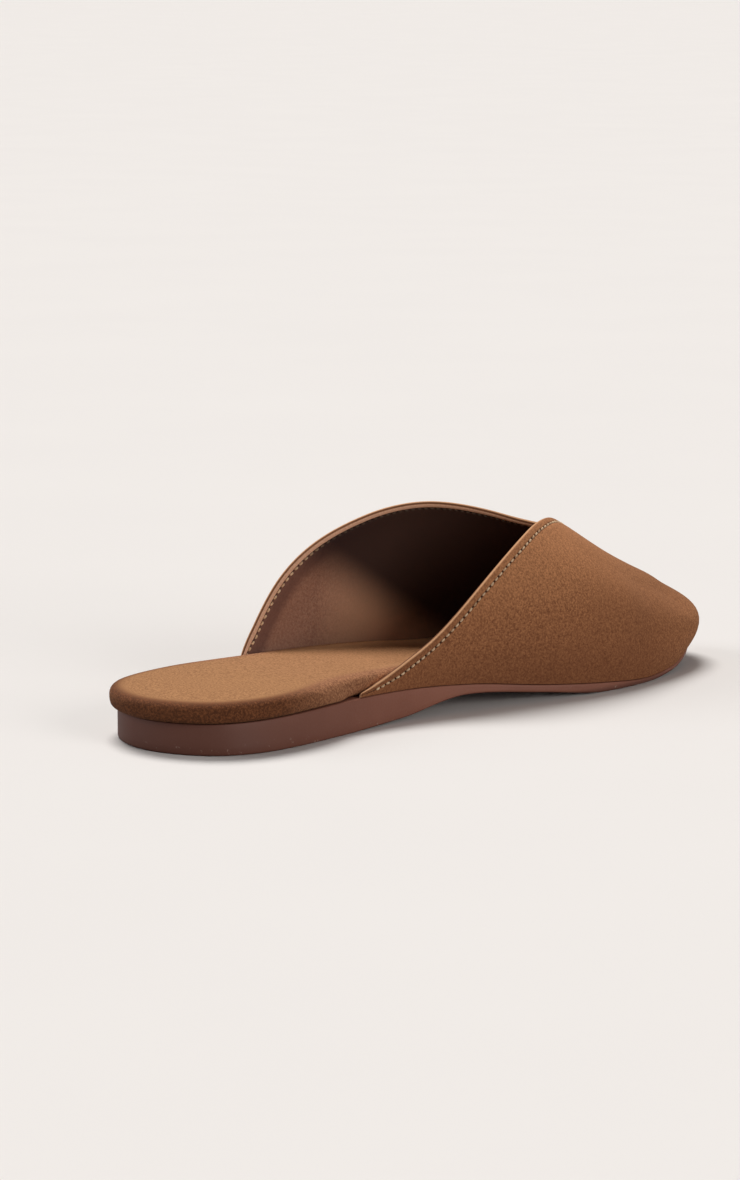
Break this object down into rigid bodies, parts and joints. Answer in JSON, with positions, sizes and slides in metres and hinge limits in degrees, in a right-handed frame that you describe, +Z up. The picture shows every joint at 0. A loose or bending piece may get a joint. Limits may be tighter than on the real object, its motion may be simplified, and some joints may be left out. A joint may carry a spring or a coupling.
{
  "type": "mule shoe",
  "caption": "Flat slip-on mule with a low moulded sole, padded footbed and a soft rounded vamp cut lower on one side.",
  "frame": {"origin": "on the floor, under the middle of the shoe's bounding box", "axes": "+Y from heel to toe, +Z up, +X to the inner (medial) side of this left shoe"},
  "size_m": [0.078, 0.2576, 0.0642],
  "materials": {
    "sole_rubber": "smooth satin",
    "footbed_suede": "short nap",
    "vamp_suede": "short nap"
  },
  "bodies": {
    "root": {"outsole": "sole_rubber", "footbed": "footbed_suede", "upper": "vamp_suede"}
  },
  "joints": []
}
